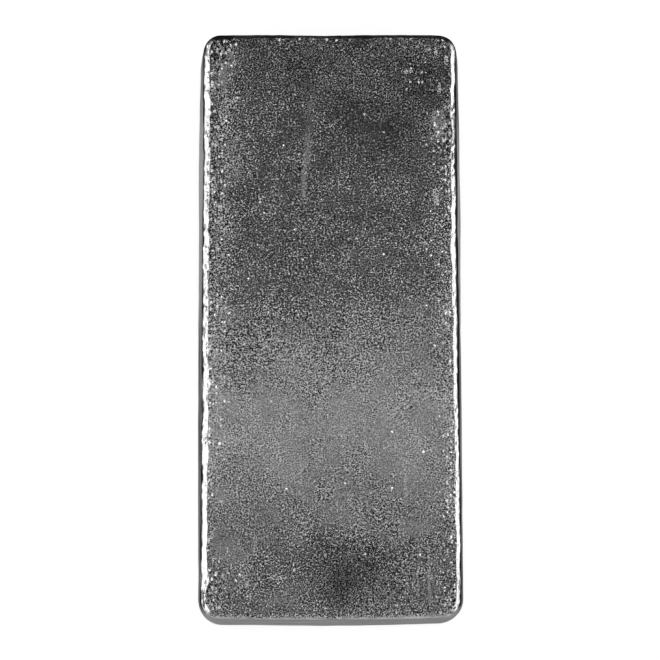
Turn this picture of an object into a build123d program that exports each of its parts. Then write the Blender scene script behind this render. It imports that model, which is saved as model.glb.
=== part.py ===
import os
from math import atan2, degrees, radians, sin, tan

from build123d import *

# A silver bar cast in an open mould, lying on its poured face.
# The face that froze on the mould's floor is up, +Y runs along the bar,
# and the origin is under the middle of the bar, on the surface it rests on.

# Driving dimensions, in millimetres and degrees.
floor_length = 113.4  # face cast on the mould's floor, before its edge is rounded
floor_width = 49.2
bar_height = 16.6
wall_draft = 7.0  # lean of the mould's walls, so that the bar drops out
floor_corner_radius = 3.2  # plan radius of the mould's corners, at its floor
end_bow = 0.35  # how far each end wall stands out at mid-width
floor_edge_radius = 1.5  # rounded edge between the mould's floor and its walls
pour_edge_radius = 1.1  # edge where the liquid metal met the wall
rim_width = 6.0  # level rim of the poured face, round the shrinkage hollow
sink_depth = 0.9  # how far the middle of the poured face sank as it froze
sink_edge_radius = 18.0  # soft turn from the rim down into the hollow

# The walls lean outwards from the mould's floor to the poured face.
wall_spread = bar_height * tan(radians(wall_draft))
pour_length = floor_length + 2 * wall_spread
pour_width = floor_width + 2 * wall_spread
floor_corner_x = floor_width / 2
floor_corner_y = floor_length / 2 - end_bow

# The hollow is a shallow trough with domed ends. Half of its section is two arcs that meet
# on a slope: a wide one under the deepest line, and a tighter one that levels out at the rim.
sink_half_width = pour_width / 2 - rim_width
sink_half_length = pour_length / 2 - rim_width
sink_slope = 2 * atan2(sink_depth, sink_half_width)
sink_arc_radius = sink_half_width / sin(sink_slope) - sink_edge_radius
trough_end = sink_half_length - sink_half_width

# Shrinkage hollow: the space that the freezing metal sank out of.
with BuildPart() as hollow:
    # Half of the section, turned about the deepest point, makes the dome at the far end.
    with BuildSketch(Plane.XZ.offset(-trough_end)) as half_section:
        with BuildLine():
            middle = Line((0, 0), (0, sink_depth))
            trough = JernArc(middle @ 1, (1, 0), sink_arc_radius, -degrees(sink_slope))
            lip = JernArc(trough @ 1, trough % 1, sink_edge_radius, degrees(sink_slope))
            Line(lip @ 1, middle @ 0)
        make_face()
    revolve(axis=Axis((0, trough_end, 0), (0, 0, 1)), revolution_arc=180)
    # The dome's flat side is the whole section, which runs on to the middle of the bar.
    extrude(hollow.faces().sort_by(Axis.Y)[0], amount=trough_end)
    mirror(about=Plane.XZ)

# The bar itself: one solid, drafted and rounded as the mould leaves it.
with BuildPart() as cast_bar:
    with BuildSketch() as floor_outline:
        with BuildLine():
            right_side = Line((floor_corner_x, -floor_corner_y), (floor_corner_x, floor_corner_y))
            far_end = ThreePointArc(right_side @ 1, (0, floor_length / 2), (-floor_corner_x, floor_corner_y))
            left_side = Line(far_end @ 1, (-floor_corner_x, -floor_corner_y))
            ThreePointArc(left_side @ 1, (0, -floor_length / 2), right_side @ 0)
        make_face()
        fillet(floor_outline.vertices(), floor_corner_radius)
    extrude(amount=bar_height)
    walls = cast_bar.faces().filter_by(Axis.Z, reverse=True)
    draft(walls, neutral_plane=Plane.XY.offset(bar_height), angle=wall_draft)
    poured_face = cast_bar.faces().sort_by(Axis.Z)[0]
    floor_face = cast_bar.faces().sort_by(Axis.Z)[-1]
    fillet(floor_face.edges(), floor_edge_radius)
    fillet(poured_face.edges(), pour_edge_radius)
    add(hollow.part, mode=Mode.SUBTRACT)

cast_bar.part.label = "cast_bar"
print("volume in cubic centimetres", round(cast_bar.part.volume / 1000, 3))
os.makedirs("parts", exist_ok=True)
export_step(cast_bar.part, "parts/cast_bar.step")
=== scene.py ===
import math

import bmesh
import bpy
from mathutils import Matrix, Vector, noise


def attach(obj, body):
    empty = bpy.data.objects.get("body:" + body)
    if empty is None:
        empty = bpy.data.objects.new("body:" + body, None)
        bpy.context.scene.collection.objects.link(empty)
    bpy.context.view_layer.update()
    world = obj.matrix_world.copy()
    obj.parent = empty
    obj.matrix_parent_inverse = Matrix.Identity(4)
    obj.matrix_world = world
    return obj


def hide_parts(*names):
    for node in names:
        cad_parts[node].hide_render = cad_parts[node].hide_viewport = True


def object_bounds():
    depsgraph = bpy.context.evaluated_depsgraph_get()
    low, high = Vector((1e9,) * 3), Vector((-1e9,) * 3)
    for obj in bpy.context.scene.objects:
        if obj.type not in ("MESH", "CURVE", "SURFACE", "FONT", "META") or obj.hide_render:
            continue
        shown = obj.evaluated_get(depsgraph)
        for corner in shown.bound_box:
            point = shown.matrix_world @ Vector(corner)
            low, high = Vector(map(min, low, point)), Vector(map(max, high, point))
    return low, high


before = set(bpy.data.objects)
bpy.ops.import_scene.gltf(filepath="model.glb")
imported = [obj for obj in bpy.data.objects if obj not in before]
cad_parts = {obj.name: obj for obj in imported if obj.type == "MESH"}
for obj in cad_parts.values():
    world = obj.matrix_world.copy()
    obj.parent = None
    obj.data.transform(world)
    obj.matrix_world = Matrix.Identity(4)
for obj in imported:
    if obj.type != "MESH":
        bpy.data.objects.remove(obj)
cadLow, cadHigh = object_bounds()
mm = 0.001  # sizes in the dictionaries are millimetres, Blender works in metres
print("frame loaded:", sorted(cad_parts))


# small helpers

def hexColour(code):
    channels = [int(code[i:i + 2], 16) / 255 for i in (1, 3, 5)]
    linear = [c / 12.92 if c <= 0.04045 else ((c + 0.055) / 1.055) ** 2.4 for c in channels]
    return (*linear, 1)


def addNode(tree, kind, inputs=None, **settings):
    node = tree.nodes.new(kind)
    for name, value in settings.items():
        setattr(node, name, value)
    for socket, value in (inputs or {}).items():
        if isinstance(value, bpy.types.NodeSocket):
            tree.links.new(value, node.inputs[socket])
        else:
            node.inputs[socket].default_value = value
    return node


def emptyTree(owner):
    owner.use_nodes = True
    owner.node_tree.nodes.clear()
    return owner.node_tree


def alongKnots(value, knots):
    # straight-line reading between (value, result) pairs
    for (start, atStart), (end, atEnd) in zip(knots, knots[1:]):
        if value <= end:
            return atStart + (value - start) / (end - start) * (atEnd - atStart)
    return knots[-1][1]


def ease(value, low, high):
    # 0 below low, 1 above high, smooth between
    t = min(max((value - low) / (high - low), 0), 1)
    return t * t * (3 - 2 * t)


def ripple(x, y, z, size):
    # smooth noise from about -1 to 1, with bumps about this many mm wide
    return noise.noise(Vector((x, y, z)) / size)


# the bar: the mould's shape as the CAD has it, then what casting does to it
bar = {
    "name": "silver_bar",
    "node": "cast_bar",
    "slot": "cast_silver",
    "floorWidth": 49.2,  # face cast on the mould's floor, before its edge is rounded
    "floorLength": 113.4,
    "height": 16.6,
    "wallDraft": 7.0,  # degrees
    "floorCorner": 3.2,  # plan radius of the corners at the floor face
    "endBow": 0.35,
    "upperEdge": 1.5,
    "farEdge": 1.0,  # the edge at the far end is crisper
    "farEdgeFrom": (52, 56),  # y over which it gets so
    "edgeRipples": [(0.28, 4.0, 3.1), (0.18, 1.6, 7.7)],  # uneven radius: share of it, width, noise layer
    "lowerEdge": 1.1,
    "rimWidth": 6.0,  # level rim of the poured face
    "sinkDepth": 0.9,
    "sinkLip": 18.0,
    "cellsAcross": 84,
    "cellsAlong": 184,
    "cellsUp": 24,
    "bandCells": 4,  # cells that share the rounded band beside each edge
    "bandWidth": 1.33,
    "footRows": 5,  # wall rows on the lower rounding
    "footHeight": 1.25,
    "headRows": 2,  # wall rows on the upper rounding
    "headHeight": 1.6,
    "finer": 2,  # each cell of the upper face and its edge is split this many times
    "strayBand": 4.0,  # mm inwards from the outline over which the strays below fade
    # how far the sides stray outwards from the mould's plan, in mm at places along the bar (y, stray)
    "leftHead": [(-60, 0.0), (60, 0.0)],
    "rightHead": [(-60, 0.50), (-46, 0.48), (-24, 0.38), (0, 0.25), (25, 0.20), (60, 0.12)],
    "leftFoot": [(-60, -0.42), (-46, -0.40), (-24, -0.26), (0, -0.02), (38, 0.0), (48, -0.1), (60, -0.3)],
    "rightFoot": [(-60, -0.05), (-24, -0.10), (0, -0.18), (25, 0.0), (46, -0.34), (60, -0.34)],
    "farEnd": [(-27, 0.30), (-14, 0.24), (0, 0.0), (14, 0.24), (27, 0.30)],
    "nearEnd": [(-27, 0.10), (0, 0.0), (27, -0.15)],
    # the upper edge is rounder on the left than on the right, and bruised in places (y, factor)
    "leftRound": [(-60, 0.8), (-52, 0.9), (-49, 1.35), (-47, 1.2), (-44, 1.0), (-14, 1.0), (-12, 1.4),
                  (-9, 1.0), (60, 1.05)],
    "rightRound": [(-60, 0.75), (0, 0.8), (10, 0.98), (32, 1.05), (38, 0.7), (42, 0.95), (60, 0.85)],
    # the lean in degrees at which the rubbed rim and its painted highlight give way to the fold's painted
    # shade (y, lean)
    "leftTurn": [(-60, 50), (-5, 50), (8, 54), (60, 54)],
    "rightTurn": [(-60, 47), (8, 47), (22, 41), (60, 41)],
    # how dim the walls are drawn at a glancing view (y, share), and the two ends: painted shade for the
    # shadowed floor that they reflect
    "leftDim": [(-60, 1.0), (-20, 1.0), (-4, 0.95), (6, 0.75), (40, 0.65), (48, 0.9), (60, 0.95)],
    "rightDim": [(-60, 0.97), (0, 0.97), (8, 0.75), (35, 0.7), (42, 0.97), (60, 0.97)],
    "nearDim": 0.76,
    "farDim": 0.8,
}


def makeBlock():
    bm = bmesh.new()
    bmesh.ops.create_cube(bm, size=2)
    for axis, cells in enumerate((bar["cellsAcross"], bar["cellsAlong"], bar["cellsUp"])):
        along = [e for e in bm.edges if abs((e.verts[0].co - e.verts[1].co)[axis]) > 1e-6]
        bmesh.ops.subdivide_edges(bm, edges=along, cuts=cells - 1, use_grid_fill=True)
    headRow = 1 - 2 * (bar["headRows"] + 0.5) / bar["cellsUp"]
    upper = [f for f in bm.faces if min(v.co.z for v in f.verts) > headRow]
    upperEdges = list({e for f in upper for e in f.edges})
    bmesh.ops.subdivide_edges(bm, edges=upperEdges, cuts=bar["finer"] - 1, use_grid_fill=True)
    return bm


def roundCorner(corner, heading, turn, radius, run):
    # point on an arc that replaces a corner of the section; run is the way past the corner
    tangent = radius * math.tan(turn / 2)
    turned = (run + tangent) / (2 * tangent) * turn
    out = corner[0] - tangent * math.cos(heading)
    up = corner[1] - tangent * math.sin(heading)
    now = heading - turned
    return (out + radius * (math.sin(heading) - math.sin(now)),
            up - radius * (math.cos(heading) - math.cos(now)))


def shapeBlock(bm):
    draft = math.radians(bar["wallDraft"])
    height = bar["height"]
    slant = height / math.cos(draft)
    spread = height * math.tan(draft)
    coreX = bar["floorWidth"] / 2 - bar["floorCorner"]
    coreY = bar["floorLength"] / 2 - bar["floorCorner"]
    rows = [(0, 0), (bar["footRows"], bar["footHeight"]),
            (bar["cellsUp"] - bar["headRows"], slant - bar["headHeight"]), (bar["cellsUp"], slant)]
    upperTurn = math.pi / 2 - draft
    lowerTurn = math.pi / 2 + draft
    for v in bm.verts:
        across, along, up = v.co
        climb = alongKnots((up + 1) / 2 * bar["cellsUp"], rows)  # way up the wall from its foot
        z = climb * math.cos(draft)
        reach = bar["floorCorner"] + (height - z) * math.tan(draft)  # outline beyond the core
        plan = []
        for way, cells, core in ((across, bar["cellsAcross"], coreX), (along, bar["cellsAlong"], coreY)):
            half = core + reach
            band = 1 - 2 * bar["bandCells"] / cells
            inner = half - bar["bandWidth"]
            plan.append(alongKnots(way, [(-1, -half), (-band, -inner), (band, inner), (1, half)]))
        coreAt = Vector((min(max(plan[0], -coreX), coreX), min(max(plan[1], -coreY), coreY)))
        beyond = Vector(plan) - coreAt
        away = max(abs(beyond.x), abs(beyond.y))
        outward = beyond.normalized()
        # the upper edge wanders in radius along the bar
        edgeX = coreAt.x + outward.x * reach
        edgeY = coreAt.y + outward.y * reach
        crisp = ease(coreAt.y + away * outward.y, *bar["farEdgeFrom"])
        radius = bar["upperEdge"] + (bar["farEdge"] - bar["upperEdge"]) * crisp
        side = "left" if outward.x < 0 else "right"
        radius *= 1 + (alongKnots(edgeY, bar[side + "Round"]) - 1) * abs(outward.x)
        uneven = 1
        for share, size, layer in bar["edgeRipples"]:
            uneven += share * ripple(edgeX, edgeY, layer, size)
        radius *= uneven
        section = (away, z)
        if up > -1:
            run = slant - climb if up < 1 else away - bar["floorCorner"]
            if abs(run) < radius * math.tan(upperTurn / 2):
                section = roundCorner((bar["floorCorner"], height), 0, upperTurn, radius, run)
        if up < 1:
            run = -climb if up > -1 else reach - away
            if abs(run) < bar["lowerEdge"] * math.tan(lowerTurn / 2):
                section = roundCorner((bar["floorCorner"] + spread, 0), -upperTurn, lowerTurn,
                                      bar["lowerEdge"], run)
        x = coreAt.x + outward.x * section[0]
        y = coreAt.y + outward.y * section[0]
        y *= 1 - bar["endBow"] / (coreY + reach) * (x / (coreX + reach)) ** 2
        head = section[1] / height
        stray = alongKnots(y, bar[side + "Head"]) * head + alongKnots(y, bar[side + "Foot"]) * (1 - head)
        edgeward = ease(away, reach - bar["strayBand"], reach)
        y += outward.y * alongKnots(x, bar["farEnd" if y > 0 else "nearEnd"]) * edgeward
        x += outward.x * stray * edgeward
        v.co = (x, y, section[1])


def sinkPouredFace(bm):
    # the shrinkage hollow: two shallow arcs that meet on a slope
    spread = bar["height"] * math.tan(math.radians(bar["wallDraft"]))
    halfWidth = bar["floorWidth"] / 2 + spread - bar["rimWidth"]
    halfLength = bar["floorLength"] / 2 + spread - bar["rimWidth"]
    slope = 2 * math.atan2(bar["sinkDepth"], halfWidth)
    lipRun = bar["sinkLip"] * math.sin(slope)
    troughRadius = halfWidth / math.sin(slope) - bar["sinkLip"]
    for v in bm.verts:
        if v.co.z > 1e-4:
            continue
        past = max(abs(v.co.y) - (halfLength - halfWidth), 0)
        inside = halfWidth - math.hypot(v.co.x, past)
        if inside <= 0:
            continue
        if inside < lipRun:
            v.co.z += inside ** 2 / (2 * bar["sinkLip"])
        else:
            v.co.z += bar["sinkDepth"] - (halfWidth - inside) ** 2 / (2 * troughRadius)


# relief: how far each kind of unevenness moves the surface, in mm
relief = {
    # upper face: broad sway, dimples, grain and finer grain (depth, width, noise layer)
    "face": [(0.08, 24, 1.3), (0.05, 6, 4.7), (0.03, 1.5, 8.2), (0.021, 0.8, 2.9)],
    "faceDrop": 0.13,  # keeps the sway and the dimples below the level of the mould's floor
    "rim": [(0.14, 3.2, 0), (0.084, 1.3, 9)],  # dents of the rounded rim, in the same way
    "pits": 0.08,
    "pitCell": 2.4,  # gas pits, at most one in a cell of this size
    "pitShare": 0.25,  # share of the cells that hold one
    "pitRadius": (0.14, 0.3),  # the smallest, in cells, and how fast it grows with luck
    "pitOxide": 0.5,
    "luckScale": 37.1,  # sets the luck of neighbouring cells apart
    "beads": 0.30,  # beads of metal that froze first, along the rims
    "beadSize": 1.15,
    "beadRound": 0.5,  # their radius in cells
    "beadFoot": 1.6,  # the most that they fall away, in depths of a bead
    "beadGap": (0.03, 0.13),  # dark gaps between them, in cells
    "gapOxide": 0.4,
    "gapWear": 0.6,  # share of it that rubbing takes off again
    # where the rims are beaded: middle x and y, half widths, and how strongly
    "beaded": [
        (-24.4, 20, 4.4, 70, 0.75),
        (-22.6, 54.5, 6.5, 7.5, 1.0),
        (-23.6, 26, 4.6, 18, 0.7),
        (-23, -51, 4, 7, 0.75),
        (24.8, -10, 3.2, 65, 0.5),
        (24, 36, 4.2, 11, 0.85),
        (24, -53, 4, 6, 0.7),
        (23.5, 56, 4, 3, 0.6),
        (0, 57, 30, 1.8, 0.45),
    ],
    "beadBorder": (0.35, 2.2, 3.7, 0.25),  # stray of these places' borders, its width and layer, full within
    # bright specks: share of the places that hold one anywhere, then regions with more, in the same way
    "specksAnywhere": 0.012,
    "speckled": [
        (-22.5, 12, 5, 70, 0.42),
        (18, 49, 5, 9, 0.22),
        (-14, 16, 4, 14, 0.16),
        (22.5, 20, 5, 40, 0.3),
        (23, -35, 3.5, 40, 0.35),
        (-18, -50, 8, 8, 0.2),
    ],
    "speckBorder": (0.3, 3.5, 6.1, 0.3),
    "laps": 0.16,  # level laps on the walls
    "lapHeight": 1.8,
    "lapStretch": 9,  # how many times longer than high they are
    "lapLayer": 6.6,
    "lapOxide": 0.1,
    "lapHollow": 0.7,  # how deep a lap's hollow is before all of the oxide shows
    "wallDents": (0.06, 4.1),  # depth and width
    "footDraw": 0.6,  # the walls' foot is drawn in, so that nothing there stands proud
    "footFade": (2, 5),  # z over which that ends
    # painted shade: the walls drawn darker at their foot, where they meet the floor
    "footShade": 0.3,
    "footShadeFade": (0.4, 1.8),
    "pouredSway": (0.08, 13, 5.5),
    "pouredDrop": 0.7,  # share of the sway by which the underside is lowered
    "rings": 0.07,  # left on the underside as it froze from the walls inwards
    "ringWidth": 4.2,
    "ringStretch": 30,  # half the length of their straight sides
    "ringStray": (0.8, 11, 1.9),
}

# regions by lean, the angle in degrees between a place and the upper face: where each begins and is whole
regions = {
    "names": ("rimWearAndHighlight", "paintedFoldShade", "wallSkin", "paintedWallShade", "pouredFace", "crevice", "sparkle", "speckle"),
    "leanStray": [(4, 2.6, 20), (4, 1.0, 0)],  # makes the borders wander: degrees, width, noise layer
    "rimFrom": (5, 13),
    "turnWidth": 8,  # degrees over which the rubbed rim gives way to the fold
    "end": (0.3, 0.9),  # how squarely a place faces an end of the bar
    "rimCorner": (0.55, 0.95),  # the same, where the rubbed rim runs out at the near corners
    "rimNear": (-58, -55),  # y where it runs out
    "rimNearStray": (1.5, 1.7),
    "foldFoot": (15.0, 15.5),  # z of the fold's lower border
    "foldStray": (0.35, 3, 4),
    "farFold": (8, 20),
    "farFoldFoot": (15.2, 15.7),
    "wallFrom": (50, 66),
    "wallTo": (110, 130),
    "pouredFrom": (120, 150),
    # share of the normal that points up, down or sideways before a kind of relief counts
    "upward": (0.1, 0.9),
    "downward": (0.3, 0.9),
    "sideways": 0.3,
}


def pitDepth(x, y):
    distances, points = noise.voronoi(Vector((x, y, 0)) / relief["pitCell"])
    luck = noise.cell(points[0] * relief["luckScale"])
    spare = luck - (1 - relief["pitShare"])
    if spare < 0:
        return 0
    smallest, growth = relief["pitRadius"]
    size = smallest + growth * spare
    return ease(size - distances[0], 0, size) * (1 + luck) / 2


def coverage(x, y, spots, border):
    # how strongly a list of soft oval spots covers a place
    stray, size, layer, full = border
    pull = stray * ripple(x, y, layer, size)
    share = 0
    for middleX, middleY, halfX, halfY, amount in spots:
        away = math.hypot((x - middleX) / halfX, (y - middleY) / halfY)
        share = max(share, amount * (1 - ease(away + pull, full, 1)))
    return share


def markRegions(v, normal, layers):
    # shares of rubbed rim with painted highlight, fold with painted shade, wall and poured face, which the
    # material reads
    x, y, z = v.co
    lean = math.degrees(math.acos(min(max(normal.z, -1), 1)))
    for stray, size, layer in regions["leanStray"]:
        lean += stray * ripple(x, y, z + layer, size)
    nearward = -normal.y / (math.hypot(normal.x, normal.y) + 1e-6)
    nearEnd = ease(nearward, *regions["end"])
    farEnd = ease(-nearward, *regions["end"])
    side = "left" if x < 0 else "right"
    turn = alongKnots(y, bar[side + "Turn"])
    turned = ease(lean, turn, turn + regions["turnWidth"])
    # rubbed rim: wear, drawn paler also as a painted highlight where its lean faces the side panels
    rubbedAndHighlight = ease(lean, *regions["rimFrom"]) * (1 - turned) * (1 - farEnd)
    rubbedAndHighlight *= 1 - ease(nearward, *regions["rimCorner"])
    stray, size = regions["rimNearStray"]
    rubbedAndHighlight *= ease(y + stray * ripple(x, y, z, size), *regions["rimNear"])
    v[layers["rimWearAndHighlight"]] = rubbedAndHighlight
    # the fold: painted shade, a dark band standing in for the dark surroundings that the steep rounding
    # reflects
    stray, size, layer = regions["foldStray"]
    foldShaded = turned * ease(z + stray * ripple(x, y, layer, size), *regions["foldFoot"])
    farFoldShaded = ease(lean, *regions["farFold"]) * ease(z, *regions["farFoldFoot"])
    v[layers["paintedFoldShade"]] = foldShaded * (1 - nearEnd) * (1 - farEnd) + farFoldShaded * farEnd
    wall = ease(lean, *regions["wallFrom"]) * (1 - ease(lean, *regions["wallTo"]))
    # painted shade: the walls dimmed at a glancing view
    dim = alongKnots(y, bar[side + "Dim"])
    dim += (bar["nearDim"] - dim) * nearEnd + (bar["farDim"] - dim) * farEnd
    v[layers["wallSkin"]] = wall
    v[layers["paintedWallShade"]] = dim * wall
    v[layers["pouredFace"]] = ease(lean, *regions["pouredFrom"])


def faceLift(v, upward, layers):
    # the upper face and its rim, with pits and beads
    x, y, z = v.co
    lift = -relief["faceDrop"]
    for depth, size, layer in relief["face"]:
        lift += depth * ripple(x, y, layer, size)
    for depth, size, layer in relief["rim"]:  # most of it half way round the rim
        lift += 4 * (1 - upward) * depth * ripple(x, y, z + layer, size)
    pit = pitDepth(x, y)
    lift -= relief["pits"] * pit
    crevice = relief["pitOxide"] * upward * pit
    beaded = coverage(x, y, relief["beaded"], relief["beadBorder"])
    if beaded:
        distances, points = noise.voronoi(Vector((x, y, z)) / relief["beadSize"])
        fall = min((distances[0] / relief["beadRound"]) ** 2, relief["beadFoot"])
        lift -= beaded * relief["beads"] * fall
        gap = 1 - ease(distances[1] - distances[0], *relief["beadGap"])
        gap *= 1 - relief["gapWear"] * v[layers["rimWearAndHighlight"]]
        crevice = max(crevice, relief["gapOxide"] * (upward * beaded) ** 2 * gap)
    specked = coverage(x, y, relief["speckled"], relief["speckBorder"])
    v[layers["crevice"]] = min(crevice, 1)
    v[layers["sparkle"]] = upward * beaded
    v[layers["speckle"]] = upward * max(relief["specksAnywhere"], specked)
    return lift


def wallLift(v, sideways, layers):
    # the walls, with laps, dents and painted shade at the foot
    x, y, z = v.co
    foot = relief["footDraw"] * (1 - ease(z, *relief["footFade"]))
    lap = ripple((x + y) / relief["lapStretch"], z, relief["lapLayer"], relief["lapHeight"])
    depth, size = relief["wallDents"]
    dent = ripple(x, y, z, size)
    lapStain = relief["lapOxide"] * ease(-lap, 0, relief["lapHollow"])
    # painted shade at the foot
    footShading = relief["footShade"] * (1 - ease(z, *relief["footShadeFade"]))
    v[layers["crevice"]] = max(v[layers["crevice"]], sideways * max(lapStain, footShading))
    return relief["laps"] * (lap - foot) + depth * (dent - foot)


def pouredLift(v):
    # the underside, with the rings round its hollow
    x, y, z = v.co
    depth, size, layer = relief["pouredSway"]
    lift = -depth * (relief["pouredDrop"] + ripple(x, y, layer, size))
    stray, size, layer = relief["ringStray"]
    ring = math.hypot(x, max(abs(y) - relief["ringStretch"], 0)) / relief["ringWidth"]
    ring += stray * ripple(x, y, layer, size)
    return lift - relief["rings"] * (1 + math.sin(ring * 2 * math.pi))


def roughenBlock(bm):
    layers = {name: bm.verts.layers.float.new(name) for name in regions["names"]}
    bm.normal_update()
    normals = [v.normal.copy() for v in bm.verts]
    for v, normal in zip(bm.verts, normals):
        markRegions(v, normal, layers)
        upward = ease(normal.z, *regions["upward"])
        downward = ease(-normal.z, *regions["downward"])
        sideways = 1 - abs(normal.z)
        lift = 0
        if upward:
            lift += upward * faceLift(v, upward, layers)
        if sideways > regions["sideways"]:
            lift += sideways * wallLift(v, sideways, layers)
        if downward:
            lift += downward * pouredLift(v)
        v.co += normal * lift
    low, high = cadLow / mm, cadHigh / mm
    for v in bm.verts:  # nothing stands proud of the CAD box
        v.co = [min(max(c, a), b) for c, a, b in zip(v.co, low, high)]


def makeBar():
    bm = makeBlock()
    shapeBlock(bm)
    sinkPouredFace(bm)
    roughenBlock(bm)
    bmesh.ops.scale(bm, vec=(mm, mm, mm), verts=bm.verts)
    for face in bm.faces:
        face.smooth = True
    mesh = bpy.data.meshes.new(bar["name"])
    bm.to_mesh(mesh)
    bm.free()
    piece = bpy.data.objects.new(bar["name"], mesh)
    bpy.context.scene.collection.objects.link(piece)
    mesh.calc_loop_triangles()
    print("bar made:", len(mesh.loop_triangles), "triangles")
    return piece


# As-cast fine silver. It froze against a coarse mould, so the face is grainy and scatters light,
# pits keep a dark oxide film, and the rims are rubbed bright by handling and drawn paler still as a painted
# highlight.
silver = {
    "clean": "#D2D2D2",
    "oxide": "#161616",
    # rubbed rims and the facets' tops: bare metal, drawn paler also as a painted highlight
    "rubbedAndHighlight": "#F0F0F0",
    # painted shade for the fold below the rim
    "foldShade": "#242424",
    "wallEdgeShade": "#141414",  # painted shade: what is left of the walls' shine at a glancing view, darker to stand in for the shadowed floor that they reflect
    "brightRoughness": 0.18,
    "frostRoughness": 0.42,
    "foldShadeRoughness": 0.5,
    "wallRoughness": 0.27,
    "pouredRoughness": 0.22,
    # grain, and pricks among it, in mm apart: drawn coarser than the finest real grain so that it shows
    "grainSize": 0.22,
    "prickSize": 0.36,
    "prickMiddle": 0.42,  # usual distance to the nearest prick, as a share of prickSize
    "grainSwing": 20.0,  # how strongly each darkens and lightens the metal
    "prickSwing": 7.5,
    "grainDepth": 0.24,  # mm from the lowest hollow to the highest grain, though few reach either
    "grainLimits": (0.15, 1.45),  # the least and the most that shows anywhere
    "evenFrom": (0.3, 1.2),  # where more of it shows, the metal is drawn darker to keep its tone
    "evenBy": 1.86,
    "bumpShare": 0.5,  # share of the bump that stays where no grain shows
    "rimSmoothing": 0.8,  # share of the bump that rubbing takes off
    "faceShine": (0.175, 0.57),  # how clean the metal of the face is, without frost and in full frost
    "wallShine": (0.62, 0.82),
    "pouredShine": (0.74, 0.88),
    "wallGrain": (0.03, 0.08),  # what the walls and the poured face keep of the grain, as tone and as bump
    "pouredGrain": (0.01, 0.04),
    "flowSize": 2.5,  # mm between flow lines on the walls
    "flowStretch": 0.12,
    # unevenness of the face: size in mm, then by how much
    "wander": (9, 14),  # mm that the borders of its patches stray
    "cloud": (6, 0.14),
    "mottle": (1.8, 0.09),
    "calm": (5, 1.4, 0.45),  # how much livelier and how much calmer the grain gets
    "beadTone": 0.2,  # how much frostier and grainier beaded places are
    # bright specks and drops, at most one in a cell: the cell's size in mm, then the radius of the flat top
    # and of the foot as shares of it
    "specks": (0.75, 0.17, 0.27),
    "drops": (0.66, 0.26, 0.38),
    "dropStretch": 0.7,  # makes drops longer along the rims
    "facetTilt": 0.50,  # how steeply their tops are tipped, so that they glint
    "facetRagged": 0.06,
    "facetLeast": 0.4,  # strength of the weakest
    "moat": 0.5,  # how dark the ring round each is
    "halfLength": 60,  # reach of the tones along the bar, in mm
    # along the bar, from the near end to the far end: y in mm, how frosty, how much grain shows
    "alongBar": [
        (-57, 0.36, 0.48), (-48, 0.30, 0.55), (-40, 0.42, 0.42), (-32, 0.60, 0.36), (-24, 0.86, 0.21),
        (-16, 0.89, 0.21), (-8, 0.69, 0.44), (0, 0.45, 0.85), (7, 0.24, 0.95), (15, 0.13, 1.0),
        (23, 0.10, 1.0), (31, 0.06, 1.0), (45, 0.0, 0.9), (57, 0.0, 0.95),
    ],
    # soft patches: middle x and y, half widths, how much frostier, how much more grain
    "patches": [
        (4, -47, 17, 10, -0.36, 0.35),
        (7, 40, 15, 9, -0.16, 0.1),
        (18, 49, 8, 7, -0.12, 0.5),
        (-21, 47, 6, 15, 0.22, 0.2),
        (-9, 11, 13, 8, -0.10, 0),
        (-22, 15, 4, 70, 0.32, 0),
        (22, 10, 4, 40, 0.15, 0),
        (-20.5, 48.5, 4.5, 6, 0.22, -0.75),
        (-20, 32, 5, 8, 0.18, -0.75),
        (-18, 40, 10, 11, 0.12, 0.15),
        (21, -20, 7, 9, -0.13, 0),
        (0, -8, 15, 6, 0.10, 0),
        (22, -6, 7, 8, -0.14, 0),
        (-21, -7, 5, 7, -0.10, 0.1),
        (21, 39.5, 3, 5, 0.45, -0.6),
        (-19, -46, 5, 6, 0.12, -0.2),
        (15.5, -42, 4, 4, 0.20, -0.2),
    ],
    # rubs, scratches and flecks, in the same way
    "scratches": [
        (-3.4, 41, 1.6, 6, 0.30, -0.7),
        (-4.3, 34, 1.1, 7, 0.38, -0.8),
        (-5.0, 28, 0.7, 7, 0.55, -0.7),
        (19, -48, 0.4, 9, 0.42, -0.2),
        (16.8, -50, 0.35, 6, 0.35, -0.1),
        (14.5, -31, 0.35, 5, 0.45, 0),
        (20.6, 24.7, 0.7, 2.0, 5.0, 0),
        (20.8, 53.4, 0.45, 1.3, 5.0, 0),
        (22.8, 51.7, 0.45, 1.4, 5.0, 0),
        (21.4, 46, 0.45, 1.4, 5.0, 0),
        (15.2, 49.4, 1.5, 0.45, 4.0, 0),
        (-10.0, -48.9, 2.2, 0.8, 1.1, 0.2),
    ],
    "patchHeight": 0.02,  # 1 / mm, so little that every patch goes all through the face's relief
}
noiseSpan = {"From Min": 0.3, "From Max": 0.7}  # nearly all of a noise texture lies between these


def toneAlongBar(tree, warped):
    # frost: where the face is duller and paler; showing: how much of its grain shows
    half = silver["halfLength"]
    length = addNode(tree, "ShaderNodeSeparateXYZ", {0: warped}).outputs["Y"]
    share = addNode(tree, "ShaderNodeMapRange",
                    {"Value": length, "From Min": -half, "From Max": half}).outputs[0]
    ramp = addNode(tree, "ShaderNodeValToRGB", {"Fac": share})
    ramp.color_ramp.interpolation = "EASE"
    stops = ramp.color_ramp.elements
    while len(stops) < len(silver["alongBar"]):
        stops.new(0.5)
    for stop, (y, frosty, grainy) in zip(stops, silver["alongBar"]):
        stop.position = (y + half) / (2 * half)
        stop.color = (frosty, grainy, 0, 1)
    both = addNode(tree, "ShaderNodeSeparateColor", {0: ramp.outputs["Color"]}).outputs
    return both["Red"], both["Green"]


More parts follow.
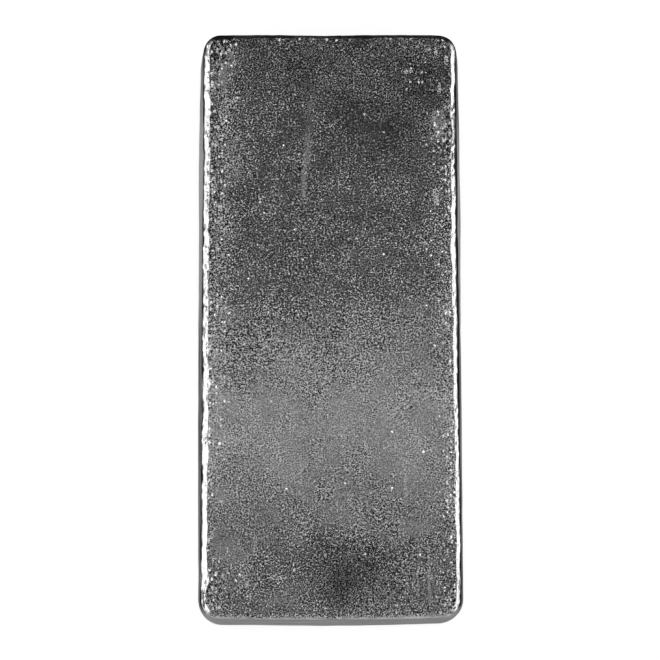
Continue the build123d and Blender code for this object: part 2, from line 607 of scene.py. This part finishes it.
def faceTone(tree, inMm, blotch, sparkle):
    # frost and showing all over the face, with clouds, patches and scratches
    size, reach = silver["wander"]
    wander = addNode(tree, "ShaderNodeTexNoise", {"Vector": inMm, "Scale": 1 / size, "Detail": 3})
    offset = addNode(tree, "ShaderNodeVectorMath",
                     {0: wander.outputs["Color"], 1: (0.5, 0.5, 0.5)}, operation="SUBTRACT").outputs[0]
    offset = addNode(tree, "ShaderNodeVectorMath", {0: offset, "Scale": reach}, operation="SCALE").outputs[0]
    warped = addNode(tree, "ShaderNodeVectorMath", {0: inMm, 1: offset}, operation="ADD").outputs[0]
    frost, showing = toneAlongBar(tree, warped)
    mottle = addNode(tree, "ShaderNodeTexNoise",
                     {"Vector": inMm, "Scale": 1 / silver["mottle"][0], "Detail": 3, "Roughness": 0.6})
    for uneven, amount in ((blotch, silver["cloud"][1]), (mottle.outputs["Fac"], silver["mottle"][1])):
        cloud = addNode(tree, "ShaderNodeMapRange",
                        {"Value": uneven, **noiseSpan, "To Min": -amount, "To Max": amount}).outputs[0]
        frost = addNode(tree, "ShaderNodeMath", {0: frost, 1: cloud}, operation="ADD").outputs[0]
    size, livelier, calmer = silver["calm"]
    calm = addNode(tree, "ShaderNodeTexNoise",
                   {"Vector": inMm, "Scale": 1 / size, "Detail": 3, "Roughness": 0.6, "Distortion": 0.6})
    calm = addNode(tree, "ShaderNodeMapRange",
                   {"Value": calm.outputs["Fac"], "From Min": 0.38, "From Max": 0.62,
                    "To Min": livelier, "To Max": calmer}).outputs[0]
    showing = addNode(tree, "ShaderNodeMath", {0: showing, 1: calm}, operation="MULTIPLY").outputs[0]
    frost = addNode(tree, "ShaderNodeMath", {0: sparkle, 1: silver["beadTone"], 2: frost},
                    operation="MULTIPLY_ADD").outputs[0]
    showing = addNode(tree, "ShaderNodeMath", {0: sparkle, 1: silver["beadTone"], 2: showing},
                      operation="MULTIPLY_ADD").outputs[0]
    flat = silver["patchHeight"]
    for kind, coordinates in (("patches", warped), ("scratches", inMm)):
        for x, y, halfX, halfY, frostier, grainier in silver[kind]:
            spot = addNode(tree, "ShaderNodeMapping",
                           {"Vector": coordinates, "Scale": (1 / halfX, 1 / halfY, flat),
                            "Location": (-x / halfX, -y / halfY, -bar["height"] * flat)})
            glow = addNode(tree, "ShaderNodeTexGradient", {"Vector": spot.outputs[0]},
                           gradient_type="SPHERICAL")
            soft = addNode(tree, "ShaderNodeMapRange", {"Value": glow.outputs["Fac"], "From Max": 0.8},
                           interpolation_type="SMOOTHSTEP").outputs[0]
            frost = addNode(tree, "ShaderNodeMath", {0: soft, 1: frostier, 2: frost},
                            operation="MULTIPLY_ADD").outputs[0]
            if grainier:
                showing = addNode(tree, "ShaderNodeMath", {0: soft, 1: grainier, 2: showing},
                                  operation="MULTIPLY_ADD").outputs[0]
    least, most = silver["grainLimits"]
    showing = addNode(tree, "ShaderNodeClamp", {"Value": showing, "Min": least, "Max": most}).outputs[0]
    return frost, showing


def grainTone(tree, inMm):
    # grain as a height, then how it and the pricks swing the tone
    grain = addNode(tree, "ShaderNodeTexNoise",
                    {"Vector": inMm, "Scale": 1 / silver["grainSize"], "Detail": 1.5}).outputs["Fac"]
    prick = addNode(tree, "ShaderNodeTexVoronoi", {"Vector": inMm, "Scale": 1 / silver["prickSize"]},
                    voronoi_dimensions="2D").outputs["Distance"]
    fine = addNode(tree, "ShaderNodeMath", {0: grain, 1: 0.5}, operation="SUBTRACT").outputs[0]
    fine = addNode(tree, "ShaderNodeMath", {0: fine, 1: silver["grainSwing"]},
                   operation="MULTIPLY").outputs[0]
    hole = addNode(tree, "ShaderNodeMath", {0: prick, 1: silver["prickMiddle"]},
                   operation="SUBTRACT").outputs[0]
    swing = addNode(tree, "ShaderNodeMath", {0: hole, 1: silver["prickSwing"], 2: fine},
                    operation="MULTIPLY_ADD").outputs[0]
    return grain, fine, swing


def faceShine(tree, frost, showing, swing):
    # how clean the metal of the face is, with the grain's hollows cut off at black
    lively = addNode(tree, "ShaderNodeMath", {0: swing, 1: showing, 2: 1},
                     operation="MULTIPLY_ADD").outputs[0]
    lively = addNode(tree, "ShaderNodeMath", {0: lively, 1: 0}, operation="MAXIMUM").outputs[0]
    evenFrom, evenTo = silver["evenFrom"]
    evened = addNode(tree, "ShaderNodeMapRange",
                     {"Value": showing, "From Min": evenFrom, "From Max": evenTo, "To Min": 1,
                      "To Max": silver["evenBy"]}).outputs[0]
    lively = addNode(tree, "ShaderNodeMath", {0: lively, 1: evened}, operation="DIVIDE").outputs[0]
    bare, frosted = silver["faceShine"]
    shine = addNode(tree, "ShaderNodeMapRange", {"Value": frost, "To Min": bare, "To Max": frosted},
                    clamp=False).outputs[0]
    return addNode(tree, "ShaderNodeMath", {0: shine, 1: lively}, operation="MULTIPLY").outputs[0]


def addFacets(tree, inMm, mark, swing, height, shine):
    # specks on the face and drops beside the rims: little facets, each tipped to one side or the other, their
    # tops also drawn paler as a painted glint
    stretched = addNode(tree, "ShaderNodeMapping",
                        {"Vector": inMm, "Scale": (1, silver["dropStretch"], 1)}).outputs[0]
    bright = mark["rimWearAndHighlight"]
    kinds = (("specks", inMm, mark["speckle"]), ("drops", stretched, mark["sparkle"]))
    for kind, coordinates, density in kinds:
        size, top, foot = silver[kind]
        cell = addNode(tree, "ShaderNodeTexVoronoi", {"Vector": coordinates, "Scale": 1 / size}).outputs
        luck = addNode(tree, "ShaderNodeSeparateColor", {0: cell["Color"]}).outputs
        chosen = addNode(tree, "ShaderNodeMath", {0: luck["Red"], 1: density},
                         operation="LESS_THAN").outputs[0]
        ragged = addNode(tree, "ShaderNodeMath", {0: swing, 1: silver["facetRagged"], 2: cell["Distance"]},
                         operation="MULTIPLY_ADD").outputs[0]
        dot = addNode(tree, "ShaderNodeMapRange",
                      {"Value": ragged, "From Min": top, "From Max": foot, "To Min": 1, "To Max": 0},
                      interpolation_type="SMOOTHSTEP").outputs[0]
        strength = addNode(tree, "ShaderNodeMapRange",
                           {"Value": luck["Blue"], "To Min": silver["facetLeast"], "To Max": 1}).outputs[0]
        chosen = addNode(tree, "ShaderNodeMath", {0: chosen, 1: strength}, operation="MULTIPLY").outputs[0]
        dot = addNode(tree, "ShaderNodeMath", {0: dot, 1: chosen}, operation="MULTIPLY").outputs[0]
        local = addNode(tree, "ShaderNodeVectorMath", {0: coordinates, 1: cell["Position"]},
                        operation="SUBTRACT").outputs[0]
        across = addNode(tree, "ShaderNodeSeparateXYZ", {0: local}).outputs["X"]
        side = addNode(tree, "ShaderNodeMath", {0: luck["Green"], 1: 0.5},
                       operation="GREATER_THAN").outputs[0]
        side = addNode(tree, "ShaderNodeMath", {0: side, 1: 2, 2: -1}, operation="MULTIPLY_ADD").outputs[0]
        tip = addNode(tree, "ShaderNodeMath", {0: across, 1: side}, operation="MULTIPLY").outputs[0]
        tip = addNode(tree, "ShaderNodeMath", {0: tip, 1: silver["facetTilt"] / silver["grainDepth"], 2: 0.5},
                      operation="MULTIPLY_ADD").outputs[0]
        height = addNode(tree, "ShaderNodeMath", {0: dot, 1: tip, 2: height},
                         operation="MULTIPLY_ADD").outputs[0]
        # painted glint: each facet's top drawn paler
        bright = addNode(tree, "ShaderNodeMath", {0: bright, 1: dot}, operation="MAXIMUM").outputs[0]
        shine = addNode(tree, "ShaderNodeMath", {0: shine, 1: dot}, operation="ADD").outputs[0]
        moat = addNode(tree, "ShaderNodeMath", {0: chosen, 1: dot}, operation="SUBTRACT").outputs[0]
        moat = addNode(tree, "ShaderNodeMath", {0: moat, 1: density}, operation="MULTIPLY").outputs[0]
        shine = addNode(tree, "ShaderNodeMath", {0: moat, 1: -silver["moat"], 2: shine},
                        operation="MULTIPLY_ADD").outputs[0]
    return height, shine, bright


def silverMaterial():
    material = bpy.data.materials.new("as-cast fine silver")
    tree = emptyTree(material)
    place = addNode(tree, "ShaderNodeTexCoord").outputs["Object"]
    inMm = addNode(tree, "ShaderNodeVectorMath", {0: place, "Scale": 1 / mm}, operation="SCALE").outputs[0]
    mark = {name: addNode(tree, "ShaderNodeAttribute", attribute_name=name).outputs["Fac"]
            for name in regions["names"]}
    wall = mark["wallSkin"]
    poured = mark["pouredFace"]
    blotch = addNode(tree, "ShaderNodeTexNoise",
                     {"Vector": inMm, "Scale": 1 / silver["cloud"][0], "Detail": 4, "Roughness": 0.65})
    blotch = blotch.outputs["Fac"]
    frost, showing = faceTone(tree, inMm, blotch, mark["sparkle"])
    grain, fine, swing = grainTone(tree, inMm)
    shine = faceShine(tree, frost, showing, swing)
    rough = addNode(tree, "ShaderNodeMath", {0: showing, 1: 1 - silver["bumpShare"], 2: silver["bumpShare"]},
                    operation="MULTIPLY_ADD").outputs[0]
    worn = addNode(tree, "ShaderNodeMath", {0: mark["rimWearAndHighlight"], 1: -silver["rimSmoothing"], 2: 1},
                   operation="MULTIPLY_ADD").outputs[0]
    keep = addNode(tree, "ShaderNodeMath", {0: rough, 1: worn}, operation="MULTIPLY").outputs[0]
    # the walls have a satin skin with faint flow lines, which run level, and the poured face, which froze
    # in the open air, is smoother and cleaner, but clouded
    stretch = silver["flowStretch"]
    level = addNode(tree, "ShaderNodeMapping", {"Vector": inMm, "Scale": (stretch, stretch, 1)}).outputs[0]
    flow = addNode(tree, "ShaderNodeTexNoise",
                   {"Vector": level, "Scale": 1 / silver["flowSize"], "Detail": 4}).outputs["Fac"]
    for share, uneven, kind in ((wall, flow, "wall"), (poured, blotch, "poured")):
        dullest, cleanest = silver[kind + "Shine"]
        asTone, asBump = silver[kind + "Grain"]
        skin = addNode(tree, "ShaderNodeMapRange",
                       {"Value": uneven, **noiseSpan, "To Min": dullest, "To Max": cleanest}).outputs[0]
        skin = addNode(tree, "ShaderNodeMath", {0: fine, 1: asTone, 2: skin},
                       operation="MULTIPLY_ADD").outputs[0]
        shine = addNode(tree, "ShaderNodeMix", {"Factor": share, "A": shine, "B": skin}).outputs[0]
        keep = addNode(tree, "ShaderNodeMix", {"Factor": share, "A": keep, "B": asBump}).outputs[0]
    height = addNode(tree, "ShaderNodeMath", {0: grain, 1: keep}, operation="MULTIPLY").outputs[0]
    height, shine, bright = addFacets(tree, inMm, mark, swing, height, shine)
    bump = addNode(tree, "ShaderNodeBump",
                   {"Height": height, "Strength": 1, "Distance": silver["grainDepth"] * mm}).outputs[0]
    # colour: oxide in the hollows of the grain and in crevices, with painted shade at the walls' foot; rubbed
    # rims and facets, paler as a painted highlight; painted shade in the fold
    shine = addNode(tree, "ShaderNodeMath", {0: shine, 1: mark["rimWearAndHighlight"]}, operation="ADD",
                    use_clamp=True).outputs[0]
    shine = addNode(tree, "ShaderNodeMath", {0: mark["crevice"], 1: -1, 2: shine}, operation="MULTIPLY_ADD",
                    use_clamp=True).outputs[0]
    colour = addNode(tree, "ShaderNodeMix",
                     {"Factor": shine, "A": hexColour(silver["oxide"]), "B": hexColour(silver["clean"])},
                     data_type="RGBA").outputs["Result"]
    dull = addNode(tree, "ShaderNodeMapRange",
                   {"Value": frost, "To Min": silver["brightRoughness"],
                    "To Max": silver["frostRoughness"]}).outputs[0]
    for share, kind in ((bright, "rubbedAndHighlight"), (mark["paintedFoldShade"], "foldShade")):
        colour = addNode(tree, "ShaderNodeMix", {"Factor": share, "A": colour, "B": hexColour(silver[kind])},
                         data_type="RGBA").outputs["Result"]
    for share, kind in ((wall, "wall"), (poured, "poured"), (bright, "bright"), (mark["paintedFoldShade"], "foldShade")):
        dull = addNode(tree, "ShaderNodeMix",
                       {"Factor": share, "A": dull, "B": silver[kind + "Roughness"]}).outputs[0]
    # painted shade: the tint darkens the walls' glancing reflection
    edge = addNode(tree, "ShaderNodeMix",
                   {"Factor": mark["paintedWallShade"], "A": (1, 1, 1, 1), "B": hexColour(silver["wallEdgeShade"])},
                   data_type="RGBA").outputs["Result"]
    shader = addNode(tree, "ShaderNodeBsdfPrincipled",
                     {"Base Color": colour, "Metallic": 1, "Roughness": dull, "Specular Tint": edge,
                      "Normal": bump})
    addNode(tree, "ShaderNodeOutputMaterial", {"Surface": shader.outputs[0]})
    print("silver material made:", len(tree.nodes), "nodes")
    return material


piece = makeBar()
piece.data.materials.append(silverMaterial())
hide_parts(bar["node"])
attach(piece, "root")


# the stage: a pale floor, side panels and a white surround that ends below a dark ceiling
stage = {
    "floorSize": 4000,
    "floorColour": "#F4F4F4",
    "floorGlow": 0.62,  # what the floor adds for the eye and for reflections
    "ambient": 0.65,
    "ceiling": 0.05,
    "surroundTop": 0.18,  # sine of the height where the white surround starts to fade
    "ceilingFrom": 0.55,
}
panels = {
    # place in mm, width and height in mm, brightness where 1 is white
    "left_panel": ((-560, 0, 470), 900, 840, 1.5),
    "right_panel": ((560, 0, 470), 900, 840, 1.5),
    "near_panel": ((0, -640, 400), 700, 560, 0.9),
}


def seenRays(tree):
    # 1 for rays from the eye, and for those that metal and glass send on
    light = addNode(tree, "ShaderNodeLightPath").outputs
    seen = addNode(tree, "ShaderNodeMath", {0: light["Is Camera Ray"], 1: light["Is Glossy Ray"]},
                   operation="MAXIMUM").outputs[0]
    return addNode(tree, "ShaderNodeMath", {0: seen, 1: light["Is Transmission Ray"]},
                   operation="MAXIMUM").outputs[0]


def makeStage():
    bm = bmesh.new()
    bmesh.ops.create_grid(bm, x_segments=1, y_segments=1, size=stage["floorSize"] / 2 * mm)
    mesh = bpy.data.meshes.new("studio_floor")
    bm.to_mesh(mesh)
    bm.free()
    floor = bpy.data.objects.new("studio_floor", mesh)
    bpy.context.scene.collection.objects.link(floor)
    material = bpy.data.materials.new("matt white paper")
    tree = emptyTree(material)
    paper = addNode(tree, "ShaderNodeBsdfDiffuse", {"Color": hexColour(stage["floorColour"])})
    glow = addNode(tree, "ShaderNodeMath", {0: seenRays(tree), 1: stage["floorGlow"]}, operation="MULTIPLY")
    shine = addNode(tree, "ShaderNodeEmission", {"Strength": glow.outputs[0]})
    both = addNode(tree, "ShaderNodeAddShader", {0: paper.outputs[0], 1: shine.outputs[0]})
    addNode(tree, "ShaderNodeOutputMaterial", {"Surface": both.outputs[0]})
    mesh.materials.append(material)

    world = bpy.data.worlds.new("studio")
    bpy.context.scene.world = world
    tree = emptyTree(world)
    direction = addNode(tree, "ShaderNodeTexCoord").outputs["Generated"]
    rise = addNode(tree, "ShaderNodeSeparateXYZ", {0: direction}).outputs["Z"]
    surround = addNode(tree, "ShaderNodeMapRange",
                       {"Value": rise, "From Min": stage["surroundTop"], "From Max": stage["ceilingFrom"],
                        "To Min": 1, "To Max": stage["ceiling"]}, interpolation_type="SMOOTHSTEP").outputs[0]
    level = addNode(tree, "ShaderNodeMix", {"Factor": seenRays(tree), "A": stage["ambient"], "B": surround})
    sky = addNode(tree, "ShaderNodeBackground", {"Strength": level.outputs[0]})
    addNode(tree, "ShaderNodeOutputWorld", {"Surface": sky.outputs[0]})

    for name, (spot, width, high, brightness) in panels.items():
        lamp = bpy.data.lights.new(name, "AREA")
        lamp.shape = "RECTANGLE"
        lamp.size = width * mm
        lamp.size_y = high * mm
        lamp.energy = brightness * math.pi * lamp.size * lamp.size_y
        panel = bpy.data.objects.new(name, lamp)
        panel.location = Vector(spot) * mm
        panel.rotation_euler = Vector(spot).to_track_quat("Z", "Y").to_euler()
        panel.visible_camera = False
        panel.visible_diffuse = False  # the even sky lights the floor, so the shadow stays soft and pale
        bpy.context.scene.collection.objects.link(panel)
    print("stage made:", len(panels), "panels")


# the camera, as the photograph was taken: nearly straight down, a little from the near end
view = {
    "aim": (0.08, -0.53, 8.0),  # mm
    "distance": 400.0,
    "tilt": 6.31,  # degrees off straight down
    "lens": 110.7,
    "sensor": 36.0,
}


def makeCamera():
    tilt = math.radians(view["tilt"])
    back = Vector((0, -math.sin(tilt), math.cos(tilt)))
    lens = bpy.data.cameras.new("photo_camera")
    lens.lens = view["lens"]
    lens.sensor_width = view["sensor"]
    camera = bpy.data.objects.new("photo_camera", lens)
    camera.location = (Vector(view["aim"]) + back * view["distance"]) * mm
    camera.rotation_euler = (tilt, 0, 0)
    bpy.context.scene.collection.objects.link(camera)
    bpy.context.scene.camera = camera
    print("camera made")


makeStage()
makeCamera()
bpy.context.scene.view_settings.view_transform = "Standard"
